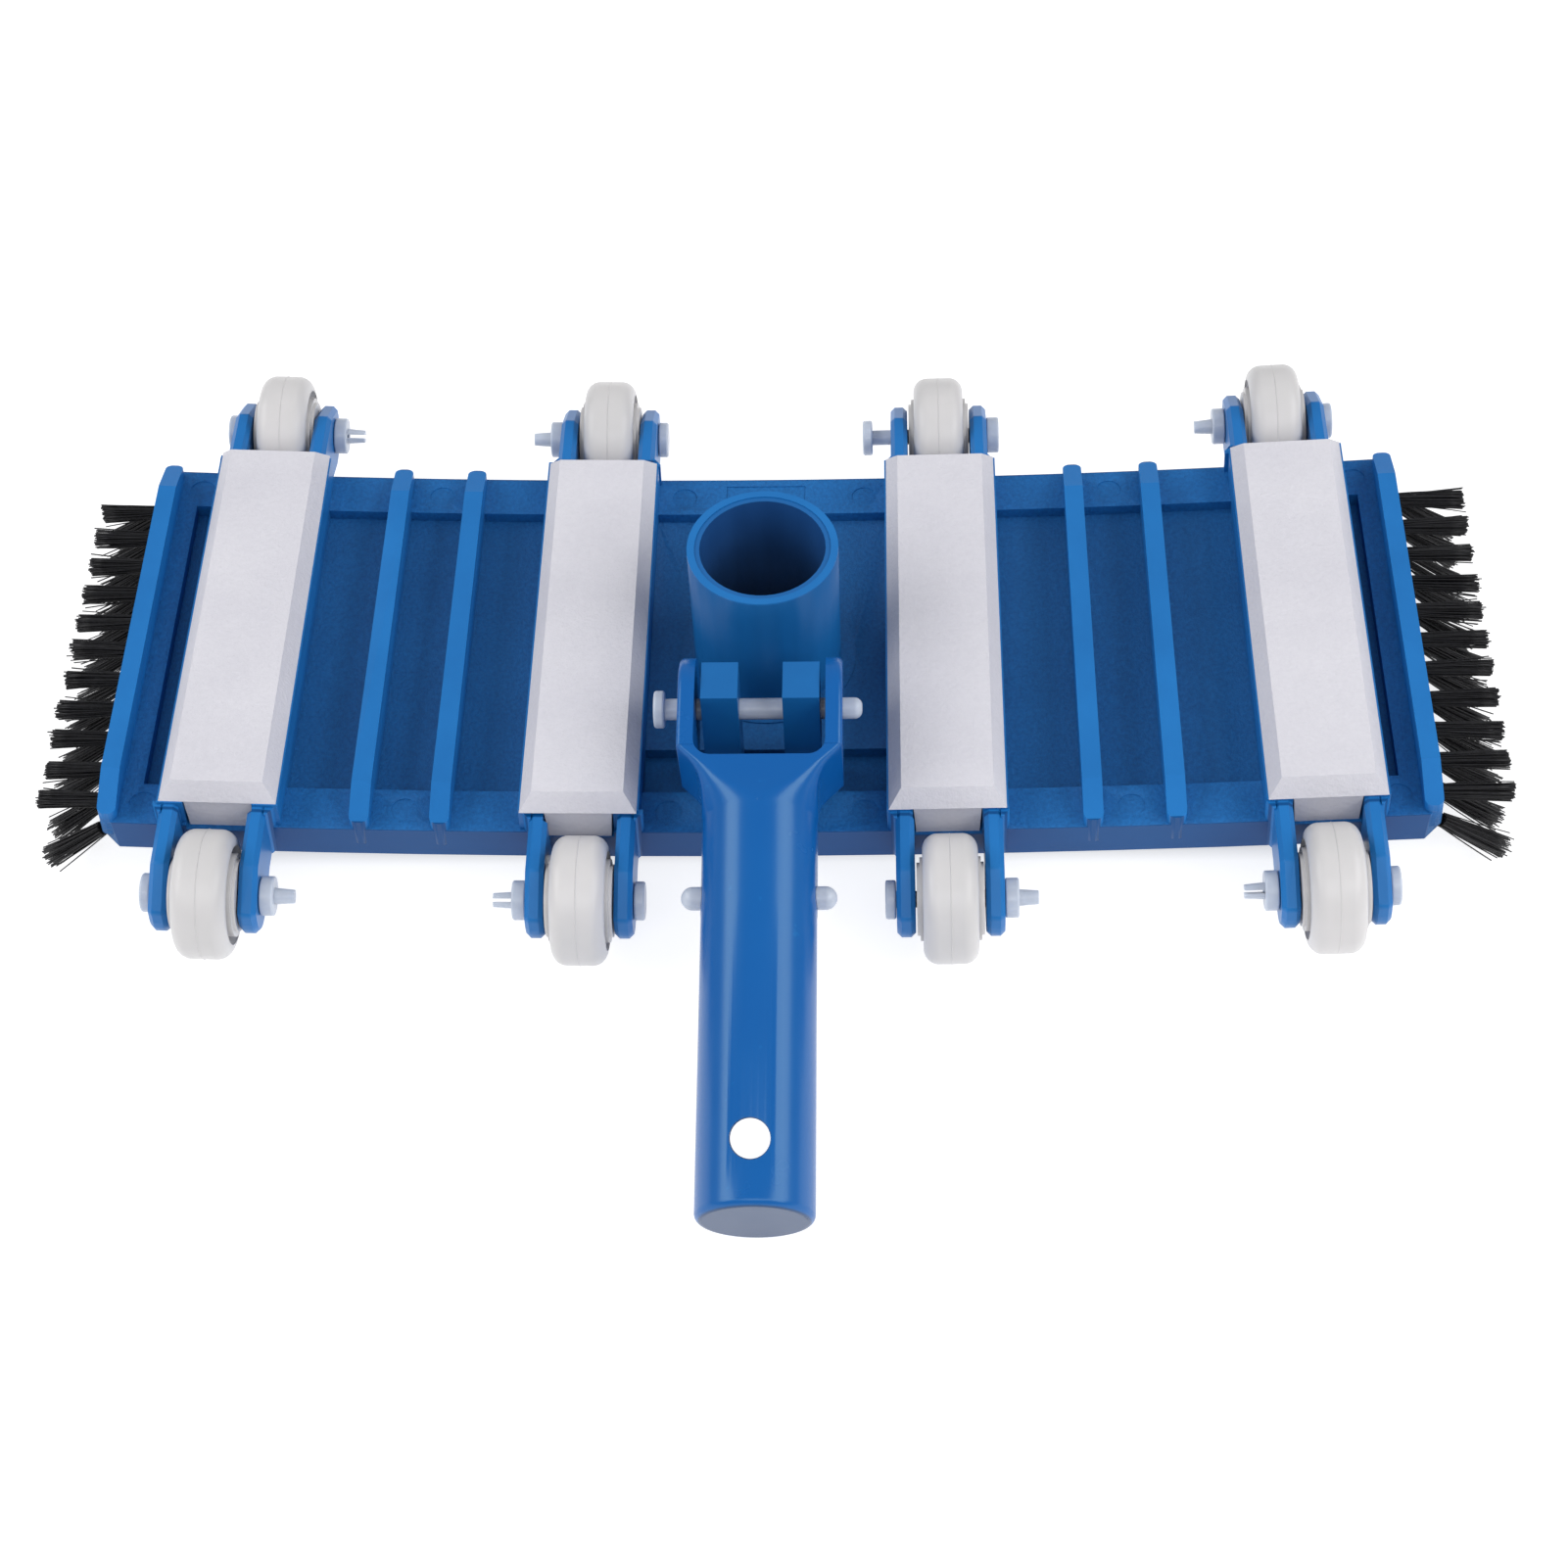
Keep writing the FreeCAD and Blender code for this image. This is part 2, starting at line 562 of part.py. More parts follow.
def handle():
    """Fork, neck and closed tube, built level along -Y from the pivot at the origin."""
    tube = rod(TUBE_R, Vec(0, -ROOT_END + 1, 0), Vec(0, -HANDLE_LONG, 0))
    end_edge = [e for e in tube.Edges if e.BoundBox.YMax < -HANDLE_LONG + 0.01]
    tube = tube.makeFillet(END_ROUND, end_edge)
    taper_start = Vec(0, -ROOT_END + ROOT_TAPER, 0)
    root = rod(ROOT_R, Vec(0, -NECK_END + 1, 0), taper_start)
    taper = Part.makeCone(ROOT_R, TUBE_R, ROOT_TAPER, taper_start, -Y_AXIS)
    body = ears().fuse([neck(), root, taper, tube])
    slot = box(-EAR_IN, EAR_IN, -SLOT_END, 30, -20, 20)
    inner_edges = [e for e in slot.Edges if e.BoundBox.ZLength > 30 and e.BoundBox.YMax < 0]
    slot = slot.makeFillet(SLOT_CORNER, inner_edges)
    hole_middle = Vec(HANG_HOLE_X, -HANG_HOLE_AT, 0)
    hole_run = Vec(math.tan(HANG_HOLE_SIDE), -math.tan(HANG_HOLE_LEAN), 1) * 25
    cuts = [slot,
            rod(TUBE_BORE_R, Vec(0, -10, 0), Vec(0, -HANDLE_LONG + END_WALL, 0)),
            rod(PIN_R + PIN_GAP, Vec(-30, 0, 0), Vec(30, 0, 0)),
            rod(HANG_HOLE_R, hole_middle - hole_run, hole_middle + hole_run),
            rod(BUTTON_R + 2 * FIT, Vec(-20, -BUTTON_AT, 0), Vec(20, -BUTTON_AT, 0))]
    body = body.cut(cuts)
    stop_y = -BOW_AT - STRIP_OUT
    stop = box(-TUBE_BORE_R - 1, TUBE_BORE_R + 1, stop_y - STOP_T, stop_y, -2, 2)
    return body.fuse(stop)


def clip_bow():
    """The closed end of the spring clip, lying in the handle's bore."""
    h = STRIP_HALF_H
    ring = Part.makeCylinder(STRIP_OUT, 2 * h, Vec(0, -BOW_AT, -h))
    ring = ring.cut(Part.makeCylinder(STRIP_OUT - STRIP_T, 2 * h, Vec(0, -BOW_AT, -h)))
    ring = ring.cut(box(-20, 20, -BOW_AT, 0, -20, 20))
    sides = [box(STRIP_OUT - STRIP_T, STRIP_OUT, -BOW_AT, -LEG_END - CLIP_GAP, -h, h)]
    sides.append(mirrored(sides[0], X_AXIS))
    return fuse([ring] + sides)


def clip_button():
    """The +X leg of the clip with its round snap button."""
    leg = box(STRIP_OUT - STRIP_T, STRIP_OUT, -LEG_END, -LEG_START, -STRIP_HALF_H, STRIP_HALF_H)
    dome_x = BUTTON_TIP - BUTTON_R
    stem = rod(BUTTON_R, Vec(STRIP_OUT - STRIP_T / 2, -BUTTON_AT, 0), Vec(dome_x, -BUTTON_AT, 0))
    dome = Part.makeSphere(BUTTON_R, Vec(dome_x, -BUTTON_AT, 0))
    return fuse([leg, stem, dome])


def pivot_pin():
    x0 = PIN_HEAD_X
    head = rod(PIN_HEAD_R, Vec(x0 - PIN_HEAD_T, 0, 0), Vec(x0, 0, 0))
    head = head.makeFillet(PIN_HEAD_ROUND, [head.Edges[0], head.Edges[2]])
    shank = rod(PIN_R, Vec(x0, 0, 0), Vec(PIN_TIP_X, 0, 0))
    end_edge = [e for e in shank.Edges if e.BoundBox.XLength < 0.01 and e.BoundBox.XMin > 0]
    shank = shank.makeFillet(PIN_R * 0.75, end_edge)
    return fuse([head, shank])


def hang(shape):
    """Put a part of the level handle at the pivot, sloping down to the floor."""
    moved = shape.copy()
    moved.rotate(Vec(0, 0, 0), X_AXIS, SLOPE)
    moved.translate(Vec(CENTRE_X, PIVOT_Y, PIVOT_Z))
    return moved


def wheel_station(shape, x, side_y, tip_side, turn):
    """Put a wheel, axle or retainer built at the origin on its axle line, turned about it."""
    moved = shape.copy()
    moved.rotate(Vec(0, 0, 0), X_AXIS, turn * tip_side)
    if tip_side < 0:
        moved.rotate(Vec(0, 0, 0), Z_AXIS, 180)
    moved.translate(Vec(0, side_y * AXLE_Y, WHEEL_R))
    return bend(moved, x)


# the way each axle's split tip points (+1 is +X), and the degrees its slot is turned from level
AXLE_TIPS = {"front": ((1, 36), (-1, -54), (1, 40), (-1, -48)),
             "back": ((1, -46), (-1, 44), (1, 10), (-1, 47))}
LOOSE = ("back", 2)

# the footprint runs from the handle's tip to the far wheels, and the inner wheels touch z = 0
FOOT_FRONT = PIVOT_Y - (HANDLE_LONG - END_ROUND) * TILT_COS - END_R * TILT_SIN - END_ROUND
FOOT_BACK = AXLE_Y + WHEEL_R
FRAME_Y = -(FOOT_FRONT + FOOT_BACK) / 2


def main():
    os.makedirs("parts", exist_ok=True)
    parts = {"body_shell": body_shell()}
    cover = weight_cover()
    core = weight_core()
    screws = []
    for i in range(len(WEIGHT_X)):
        parts["weight_cover_%d" % (i + 1)] = seated(cover, i)
        parts["weight_core_%d" % (i + 1)] = seated(core, i)
        screws += [seated(screw, i) for screw in weight_screws()]
    parts["weight_screws"] = Part.makeCompound(screws)
    for row, side_y in (("front", -1), ("back", 1)):
        for i in range(len(WEIGHT_X)):
            x = station_x(row, i)
            tip, turn = AXLE_TIPS[row][i]
            creep = LOOSE_PIN if (row, i) == LOOSE else 0.0
            label = "%s_%d" % (row, i + 1)
            parts["wheel_" + label] = wheel_station(wheel(), x, side_y, 1, 0)
            parts["axle_" + label] = wheel_station(axle(creep), x, side_y, tip, turn)
            parts["retainer_" + label] = wheel_station(retainer(), x, side_y, tip, 0)
    for row in ("upper", "lower"):
        tufts = bristles(row)
        parts["bristles_%s_right" % row] = tufts
        parts["bristles_%s_left" % row] = mirrored(tufts, X_AXIS)
    pin = pivot_pin()
    pin.translate(Vec(CENTRE_X, PIVOT_Y, PIVOT_Z))
    parts["pivot_pin"] = pin
    parts["handle"] = hang(handle())
    parts["clip_bow"] = hang(clip_bow())
    button = clip_button()
    parts["clip_button_right"] = hang(button)
    parts["clip_button_left"] = hang(mirrored(button, X_AXIS))
    for name, shape in parts.items():
        shape.translate(Vec(0, FRAME_Y, -WHEEL_LOW))
        solids = shape.Solids
        bounds = shape.BoundBox
        print("%-22s solids %2d valid %s volume %9.1f  y %7.2f..%7.2f  z %6.2f..%6.2f"
              % (name, len(solids), shape.isValid(), sum(s.Volume for s in solids),
                 bounds.YMin, bounds.YMax, bounds.ZMin, bounds.ZMax))
        shape.exportStep("parts/%s.step" % name)


main()
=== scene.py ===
"""Looks for the weighted pool vacuum head: materials, soft edges, hairs, parting lines, light, camera."""

import json
import math
import random

import bmesh
import bpy
import numpy as np
from mathutils import Matrix, Vector


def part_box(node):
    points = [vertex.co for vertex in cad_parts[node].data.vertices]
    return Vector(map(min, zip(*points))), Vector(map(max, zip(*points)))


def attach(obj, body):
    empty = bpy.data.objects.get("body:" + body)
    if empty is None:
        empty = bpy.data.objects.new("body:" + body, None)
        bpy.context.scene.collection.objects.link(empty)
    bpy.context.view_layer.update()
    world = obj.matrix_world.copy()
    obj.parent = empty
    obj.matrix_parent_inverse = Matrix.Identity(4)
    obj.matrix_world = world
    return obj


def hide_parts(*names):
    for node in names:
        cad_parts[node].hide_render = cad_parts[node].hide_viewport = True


MM = 0.001
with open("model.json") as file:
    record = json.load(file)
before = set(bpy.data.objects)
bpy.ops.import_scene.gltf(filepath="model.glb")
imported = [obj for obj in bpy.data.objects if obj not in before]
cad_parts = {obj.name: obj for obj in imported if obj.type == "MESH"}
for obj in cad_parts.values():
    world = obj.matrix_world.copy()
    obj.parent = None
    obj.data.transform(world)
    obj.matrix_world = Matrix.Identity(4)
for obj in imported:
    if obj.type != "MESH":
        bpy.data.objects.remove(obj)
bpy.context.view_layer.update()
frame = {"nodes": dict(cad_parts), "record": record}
NODES = frame["nodes"]
scene = bpy.context.scene


# ---- colours and node helpers --------------------------------------------------------------

def linear(red, green, blue):
    """Screen colour (0 to 255) as the linear colour that shaders take."""
    def one(value):
        value = value / 255
        return value / 12.92 if value <= 0.04045 else ((value + 0.055) / 1.055) ** 2.4
    return (one(red), one(green), one(blue), 1.0)


class Shader:
    """A material being built: its node tree, its main shader and the object's own coordinates."""

    def __init__(self, name):
        self.material = bpy.data.materials.new(name)
        self.material.use_nodes = True
        self.tree = self.material.node_tree
        self.tree.nodes.clear()
        self.output = self.add("ShaderNodeOutputMaterial")
        self.main = self.add("ShaderNodeBsdfPrincipled")
        self.place = self.add("ShaderNodeTexCoord").outputs["Object"]
        self.link(self.main.outputs["BSDF"], self.output.inputs["Surface"])

    def add(self, kind, **settings):
        node = self.tree.nodes.new(kind)
        for key, value in settings.items():
            setattr(node, key, value)
        return node

    def link(self, source, target):
        self.tree.links.new(source, target)

    def set(self, **values):
        """Fixed values on the main shader's sockets, named with underscores for spaces."""
        for key, value in values.items():
            self.main.inputs[key.replace("_", " ")].default_value = value

    def noise(self, scale, detail=3.0, roughness=0.55, place=None):
        node = self.add("ShaderNodeTexNoise")
        node.inputs["Scale"].default_value = scale
        node.inputs["Detail"].default_value = detail
        node.inputs["Roughness"].default_value = roughness
        self.link(place or self.place, node.inputs["Vector"])
        return node.outputs["Fac"]

    def stretched(self, scale):
        """The object's coordinates with each axis scaled."""
        node = self.add("ShaderNodeMapping")
        node.inputs["Scale"].default_value = scale
        self.link(self.place, node.inputs["Vector"])
        return node.outputs["Vector"]

    def ramp(self, source, stops):
        """A colour ramp of (position, colour) stops."""
        node = self.add("ShaderNodeValToRGB")
        ramp = node.color_ramp
        while len(ramp.elements) < len(stops):
            ramp.elements.new(0.5)
        for element, (position, colour) in zip(ramp.elements, stops):
            element.position = position
            element.color = colour
        self.link(source, node.inputs["Fac"])
        return node.outputs["Color"]

    def spread(self, source, low, high):
        """A 0 to 1 value mapped onto a range."""
        node = self.add("ShaderNodeMapRange")
        node.inputs["To Min"].default_value = low
        node.inputs["To Max"].default_value = high
        self.link(source, node.inputs["Value"])
        return node.outputs["Result"]

    def maths(self, operation, first, second):
        """One Math node; either input may be a socket or a number."""
        node = self.add("ShaderNodeMath", operation=operation)
        for place, value in zip(node.inputs, (first, second)):
            if isinstance(value, (int, float)):
                place.default_value = value
            else:
                self.link(value, place)
        return node.outputs[0]

    def between(self, value, low, high):
        """0 at low and 1 at high, held at those ends outside them."""
        node = self.add("ShaderNodeMapRange")
        node.inputs["From Min"].default_value = low
        node.inputs["From Max"].default_value = high
        self.link(value, node.inputs["Value"])
        return node.outputs["Result"]

    def blend(self, factor, first, second, kind="MIX"):
        """Mix two colours; each of the three inputs may be a socket or fixed."""
        node = self.add("ShaderNodeMix", data_type="RGBA", blend_type=kind)
        for name, value in (("Factor_Float", factor), ("A_Color", first), ("B_Color", second)):
            place = next(i for i in node.inputs if i.identifier == name)
            if isinstance(value, (int, float, tuple)):
                place.default_value = value
            else:
                self.link(value, place)
        return next(o for o in node.outputs if o.identifier == "Result_Color")

    def tinted(self, colour, tone):
        return self.blend(1.0, colour, tone, "MULTIPLY")

    def bump(self, height, distance, strength=1.0, under=None):
        node = self.add("ShaderNodeBump")
        node.inputs["Strength"].default_value = strength
        node.inputs["Distance"].default_value = distance
        self.link(height, node.inputs["Height"])
        if under is not None:
            self.link(under, node.inputs["Normal"])
        return node.outputs["Normal"]


# ---- materials -----------------------------------------------------------------------------

BOW_R = 2.5                     # the plate is bent up at both ends on this radius
MIDDLE_Y = (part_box("body_shell")[0].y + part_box("body_shell")[1].y) / 2
TRAY_H = 16.6 * MM              # heights over the bow: tray floors, long rims, lowest rib ends
RIM_H = 20.0 * MM
RIB_H = 23.2 * MM
RIM_EDGE = 64.3 * MM            # the plate reaches this far to each side of its middle line
PORT_AXIS = (-0.75 * MM, MIDDLE_Y)
PORT_R = 20.4 * MM
PORT_TOP = 61.9 * MM
LUG_LOW = 30 * MM               # above this stand only the port and the lugs

# Each region of the body multiplies its plastic's colour by a painted shade of its own: darkest in the
# recessed trays, less on the rims, and also on the skirt's outer faces, the lugs, the port's wall and down
# the bore.
TRAY_PAINTED_SHADE = (0.68, 0.65, 0.67, 1)
RIM_LOW_PAINTED_SHADE = (0.75, 0.76, 0.78, 1)
RIM_HIGH_PAINTED_SHADE = (0.82, 0.83, 0.86, 1)
PLAIN = (1, 1, 1, 1)
SKIRT_PAINTED_SHADE = (0.01, 0.41, 0.50, 1)
LUG_PAINTED_SHADE = (0.76, 0.82, 0.84, 1)
PORT_PAINTED_SHADE = (0.66, 0.70, 0.72, 1)
BORE_PAINTED_SHADES = [(0.0, (1.6, 0.42, 0.40, 1)), (0.5, (1.2, 0.36, 0.36, 1)), (1.0, (0.95, 0.43, 0.50, 1))]
RIM_BLUR = 0.1                  # half the stretch over which the rims' painted shade changes, as a share
RIB_FULL = 0.97                 # share of the rise to the ribs from which the plastic is plain, without painted shade
SKIRT_FROM = RIM_EDGE - 0.3 * MM        # the skirt's painted shade starts just inside the edge
SKIRT_FULL = RIM_EDGE - 0.1 * MM
ARMS_FROM = RIM_EDGE + 0.6 * MM         # and ends where the wheel arms stand out
ARMS_FULL = RIM_EDGE + 0.9 * MM
LUG_FADE = 2 * MM
PORT_FROM = PORT_R + 0.3 * MM           # the port's painted shade covers its wall and what lies inside
PORT_FULL = PORT_R + 0.1 * MM
LIP_FROM = PORT_TOP - 0.1 * MM          # below the port's top face
LIP_FULL = PORT_TOP - 0.7 * MM
BORE_FROM = PORT_R - 1.2 * MM
BORE_FULL = PORT_R - 3.0 * MM


def plate_painted_shade_and_grain(s):
    """The painted shade of each region of the body, and how strong its grain is: most in the trays, none on
    ribs.
    """
    split = s.add("ShaderNodeSeparateXYZ")
    s.link(s.place, split.inputs[0])
    along = s.maths("MULTIPLY", split.outputs["X"], split.outputs["X"])
    lift = s.maths("MULTIPLY", along, 0.5 / BOW_R)
    over_bow = s.maths("SUBTRACT", split.outputs["Z"], lift)
    height = s.between(over_bow, TRAY_H, RIB_H)
    rims = (RIM_H - TRAY_H) / (RIB_H - TRAY_H)
    level = s.ramp(height, [(0.0, TRAY_PAINTED_SHADE), (rims - RIM_BLUR, RIM_LOW_PAINTED_SHADE),
                            (rims + RIM_BLUR, RIM_HIGH_PAINTED_SHADE), (RIB_FULL, PLAIN)])
    # Painted shade on the skirt's outer faces, ending where the wheel arms stand out.
    across = s.maths("ABSOLUTE", s.maths("SUBTRACT", split.outputs["Y"], MIDDLE_Y), 0.0)
    outside = s.between(across, SKIRT_FROM, SKIRT_FULL)
    arms = s.between(across, ARMS_FROM, ARMS_FULL)
    tone = s.blend(outside, level, s.blend(arms, SKIRT_PAINTED_SHADE, PLAIN))
    # Painted shade on the lugs.
    lugs = s.between(over_bow, LUG_LOW, LUG_LOW + LUG_FADE)
    tone = s.blend(lugs, tone, LUG_PAINTED_SHADE)
    low = s.between(height, RIB_FULL, rims + RIM_BLUR)
    grained = s.maths("MULTIPLY", low, s.maths("SUBTRACT", 1.0, outside))
    # Painted shade on the port's outside wall below its top face, and down the bore a painted shade whose
    # tint changes with height.
    from_x = s.maths("SUBTRACT", split.outputs["X"], PORT_AXIS[0])
    from_y = s.maths("SUBTRACT", split.outputs["Y"], PORT_AXIS[1])
    square = s.maths("ADD", s.maths("MULTIPLY", from_x, from_x), s.maths("MULTIPLY", from_y, from_y))
    radius = s.maths("SQRT", square, 0.0)
    near = s.between(radius, PORT_FROM, PORT_FULL)
    below = s.between(split.outputs["Z"], LIP_FROM, LIP_FULL)
    bore = s.between(radius, BORE_FROM, BORE_FULL)
    depth = s.ramp(s.between(split.outputs["Z"], TRAY_H, PORT_TOP), BORE_PAINTED_SHADES)
    wall = s.blend(bore, PORT_PAINTED_SHADE, depth)
    port = s.blend(below, PLAIN, wall)
    return s.blend(near, tone, port), grained


def body_plastic():
    """Blue moulded plastic, spark-eroded to a leather-like grain in the trays and on the rims, with painted
    shade by region.
    """
    s = Shader("body_plastic_looks")
    colour = s.ramp(s.noise(14, 3), [(0.3, linear(26, 105, 173)), (0.7, linear(31, 112, 182))])
    tone, grained = plate_painted_shade_and_grain(s)
    grain = s.noise(900, 3, 0.65)
    mottle = s.ramp(grain, [(0.32, (0.80, 0.82, 0.84, 1)), (0.68, (1.16, 1.14, 1.12, 1))])
    dusty = s.ramp(s.noise(45, 4, 0.6), [(0.3, (0.92, 0.93, 0.94, 1)), (0.75, (1.08, 1.06, 1.04, 1))])
    # The region tone from the plate is painted shade; the mottle and dust are the plastic's own colour.
    speckled = s.tinted(s.tinted(colour, tone), s.blend(grained, PLAIN, mottle))
    s.link(s.tinted(speckled, dusty), s.main.inputs["Base Color"])
    s.link(s.spread(grained, 0.34, 0.55), s.main.inputs["Roughness"])
    rough = s.bump(s.maths("MULTIPLY", grain, grained), 0.0005, 0.55)
    s.link(s.bump(s.noise(90, 2), 0.0002, 0.15, rough), s.main.inputs["Normal"])
    s.set(IOR=1.45, Specular_IOR_Level=0.3)
    return s.material


PIVOT = (-1.357 * MM, 43.59 * MM)       # the handle's pivot, across and up
HANG = math.radians(12.13)      # the handle slopes down by this from there
HANDLE_LONG = 139.904 * MM
END_PAINTED_SHADE = (0.2, 0.32, 0.38, 1)         # painted shade: the flat end multiplies the colour by this
END_FROM = HANDLE_LONG - 0.4 * MM
END_FULL = HANDLE_LONG - 0.1 * MM


def handle_plastic():
    """Smooth glossy blue plastic with the faintest waves along its length, and painted shade on its flat
    end.
    """
    s = Shader("handle_plastic_looks")
    colour = s.ramp(s.noise(18, 3), [(0.3, linear(6, 84, 157)), (0.7, linear(9, 89, 162))])
    specks = s.ramp(s.noise(260, 2, 0.5), [(0.72, (1, 1, 1, 1)), (0.78, (1.5, 1.25, 1.12, 1))])
    split = s.add("ShaderNodeSeparateXYZ")
    s.link(s.place, split.inputs[0])
    behind = s.maths("MULTIPLY", s.maths("SUBTRACT", PIVOT[0], split.outputs["Y"]), math.cos(HANG))
    sunk = s.maths("MULTIPLY", s.maths("SUBTRACT", PIVOT[1], split.outputs["Z"]), math.sin(HANG))
    end = s.between(s.maths("ADD", behind, sunk), END_FROM, END_FULL)
    # Painted shade on the flat end.
    tone = s.blend(end, PLAIN, END_PAINTED_SHADE)
    s.link(s.tinted(s.tinted(colour, specks), tone), s.main.inputs["Base Color"])
    s.link(s.spread(s.noise(70, 3, 0.6), 0.22, 0.30), s.main.inputs["Roughness"])
    s.link(s.bump(s.noise(60, 2, 0.5, s.stretched((1, 0.12, 1))), 0.0002, 0.1), s.main.inputs["Normal"])
    s.set(IOR=1.46, Specular_IOR_Level=0.5, Specular_Tint=(0.70, 1.0, 0.90, 1))
    return s.material


def weight_coat():
    """Light lavender grey coat with a coarse sand-blasted texture."""
    s = Shader("weight_coat_looks")
    tone = s.ramp(s.noise(30, 4), [(0.3, linear(204, 203, 211)), (0.7, linear(212, 211, 218))])
    sand = s.noise(800, 3, 0.7)
    grit = s.ramp(sand, [(0.33, (0.955, 0.955, 0.96, 1)), (0.67, (1, 1, 1, 1))])
    s.link(s.tinted(tone, grit), s.main.inputs["Base Color"])
    s.set(Roughness=0.62, IOR=1.47, Specular_IOR_Level=0.3)
    fine = s.bump(sand, 0.0005, 0.5)
    s.link(s.bump(s.noise(420, 2, 0.6), 0.0005, 0.25, fine), s.main.inputs["Normal"])
    return s.material


def wheel_plastic():
    """Smooth off-white plastic."""
    s = Shader("wheel_plastic_looks")
    tone = s.noise(40, 3)
    colour = s.ramp(tone, [(0.3, linear(196, 195, 196)), (0.7, linear(205, 203, 204))])
    s.link(colour, s.main.inputs["Base Color"])
    s.link(s.spread(s.noise(300, 3), 0.28, 0.42), s.main.inputs["Roughness"])
    s.set(IOR=1.49, Specular_IOR_Level=0.4, Subsurface_Weight=0.1,
          Subsurface_Radius=(0.004, 0.004, 0.0035), Subsurface_Scale=0.4)
    s.link(s.bump(s.noise(500, 2), 0.0001, 0.1), s.main.inputs["Normal"])
    return s.material


def nylon(name):
    """Translucent cool white nylon."""
    s = Shader(name)
    tone = s.noise(120, 3)
    colour = s.ramp(tone, [(0.3, linear(174, 183, 199)), (0.7, linear(190, 198, 212))])
    s.link(colour, s.main.inputs["Base Color"])
    s.link(s.spread(s.noise(400, 3), 0.25, 0.4), s.main.inputs["Roughness"])
    s.set(IOR=1.53, Specular_IOR_Level=0.4, Subsurface_Weight=0.4,
          Subsurface_Radius=(0.003, 0.0033, 0.0036), Subsurface_Scale=0.6)
    s.link(s.bump(s.noise(700, 2), 0.0001, 0.1), s.main.inputs["Normal"])
    return s.material


def bristle_nylon():
    """Near-black nylon filament."""
    s = Shader("bristle_nylon_looks")
    tone = s.noise(900, 2)
    s.link(s.ramp(tone, [(0.3, linear(9, 9, 12)), (0.7, linear(26, 26, 31))]), s.main.inputs["Base Color"])
    s.link(s.spread(s.noise(2000, 2), 0.35, 0.5), s.main.inputs["Roughness"])
    s.set(IOR=1.5, Specular_IOR_Level=0.35)
    return s.material


def steel(name, shade, rough):
    """Steel with fine streaks that run along Y."""
    s = Shader(name)
    streak = s.noise(900, 3, 0.6, s.stretched((1, 0.05, 1)))
    low = linear(shade - 18, shade - 18, shade - 14)
    high = linear(shade, shade, shade + 3)
    s.link(s.ramp(streak, [(0.3, low), (0.7, high)]), s.main.inputs["Base Color"])
    s.link(s.spread(streak, rough, rough + 0.15), s.main.inputs["Roughness"])
    s.set(Metallic=1.0)
    s.link(s.bump(streak, 0.00005, 0.2), s.main.inputs["Normal"])
    return s.material


LOOKS = {
    "body_plastic": body_plastic(),
    "handle_plastic": handle_plastic(),
    "weight_coat": weight_coat(),
    "wheel_plastic": wheel_plastic(),
    "pin_nylon": nylon("pin_nylon_looks"),
    "button_plastic": nylon("button_plastic_looks"),
    "bristle_nylon": bristle_nylon(),
    "core_steel": steel("core_steel_looks", 120, 0.55),
    "screw_steel": steel("screw_steel_looks", 190, 0.25),
    "clip_steel": steel("clip_steel_looks", 200, 0.2),
}
SLOT_OF = {p["node"]: p["material_slot"] for p in frame["record"]["subparts"]}


def dress(obj, slot):
    """Give an object the material of a slot."""
    obj.data.materials.clear()
    obj.data.materials.append(LOOKS[slot])


def soften(obj, width, angle=32):
    """Join the mesh's split edges and round its sharp ones with real geometry."""
    weld = obj.modifiers.new("weld", "WELD")
    weld.merge_threshold = 0.01 * MM
    bevel = obj.modifiers.new("soft_edges", "BEVEL")
    bevel.width = width
    bevel.segments = 2
    bevel.limit_method = "ANGLE"
    bevel.angle_limit = math.radians(angle)
    bevel.harden_normals = True


MOULDED_EDGE = 0.35 * MM
HANDLE_EDGE = 0.4 * MM

for name, obj in NODES.items():
    dress(obj, SLOT_OF[name])
soften(NODES["body_shell"], MOULDED_EDGE)
soften(NODES["handle"], HANDLE_EDGE)
for name in NODES:
    if name.startswith("weight_cover"):
        soften(NODES[name], MOULDED_EDGE)


# ---- bristles ------------------------------------------------------------------------------

HAIR_R = 0.19 * MM
HAIR_SIDES = 5
HAIR_STEPS = 4
HAIRS = 84                      # hairs in one tuft
IN_HOLE = 5.0 * MM              # hairs begin this far from the inner end of the CAD tuft
ROOT_R = 1.95 * MM              # tuft radius at the hole
CUT_R = {"upper": 2.55 * MM, "lower": 3.3 * MM}         # and at its cut end
CUT_R_RANGE = (0.92, 1.12)
STRAYS = {"upper": 6, "lower": 20}      # hairs of a tuft that stand away from the rest
STRAY_OUT = (0.3, 1.8)          # how far they stand away, in mm
STRAY_ALONG = (-1.0, 0.8)       # and how much longer they are, in mm
LONGER = {"left": -0.5 * MM, "right": 1.5 * MM}         # hairs beyond the end of the CAD tuft
GOLDEN_TURN = 2.39996           # radians from one hair to the next, which fills a disc evenly
TURN_JITTER = 0.2
LEAN_SIDE = 0.45 * MM           # spread of where a whole tuft leans
LEAN_UP = 0.3 * MM
CUT_SLANT = 0.12                # spread of the slope that a tuft is cut at
UNEVEN = 0.28 * MM              # spread of the hairs' lengths
SPLAY = 0.16 * MM               # spread of the hairs' ends
HAIR_SAG = 0.12 * MM
HAIR_R_RANGE = (0.85, 1.1)
FIRST_SEED = 11


